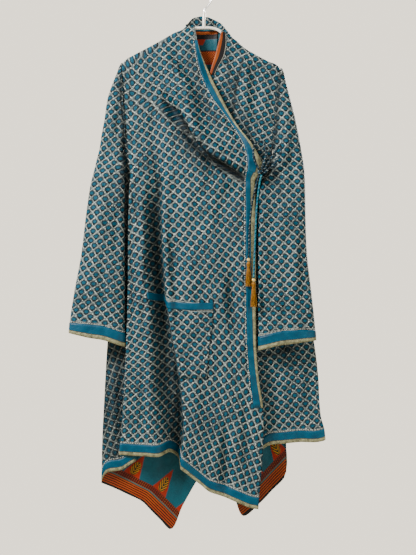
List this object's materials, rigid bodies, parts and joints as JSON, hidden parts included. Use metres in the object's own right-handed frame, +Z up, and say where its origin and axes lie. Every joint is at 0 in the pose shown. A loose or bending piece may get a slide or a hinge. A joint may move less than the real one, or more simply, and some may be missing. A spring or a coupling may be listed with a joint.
{
  "type": "wrap robe of kimono cut on a clothes hanger",
  "caption": "Printed wrap robe of kimono cut with wide sleeves, plain borders, a side tie with tassels and a pointed hem, hanging flat on a tube hanger with a wire hook.",
  "frame": {"origin": "inside of the top of the hanger's hook, where a rail or nail holds it", "axes": "+Z up along the garment's length, +Y from the robe's front to its back, +X towards the robe's own left side"},
  "size_m": [0.5893, 0.0839, 1.2817],
  "materials": {
    "print": "soft printed silk",
    "border": "plain woven border",
    "lining": "printed silk lining",
    "tie": "rolled silk cord",
    "tassel": "silk thread",
    "bead": "polished",
    "plastic": "moulded, slightly aged",
    "wire": "bright"
  },
  "bodies": {
    "root": {"front_right": "print", "front_left": "print", "back": "print", "collar": "print", "sleeve_right": "print", "sleeve_left": "print", "pocket": "print", "cuff_right": "border", "cuff_left": "border", "hem_band_front": "border", "hem_band_side": "border", "hem_band_left": "border", "neck_band": "border", "front_edge_band": "border", "pocket_band": "border", "hem_lining": "lining", "neck_lining": "lining", "neck_facing": "lining", "tie_knot": "tie", "tie_loop_a": "tie", "tie_loop_b": "tie", "tie_cord_a": "tie", "tie_cord_b": "tie", "bead_a": "bead", "bead_b": "bead", "tassel_a": "tassel", "tassel_b": "tassel", "hanger": "plastic", "hook": "wire"}
  },
  "joints": []
}
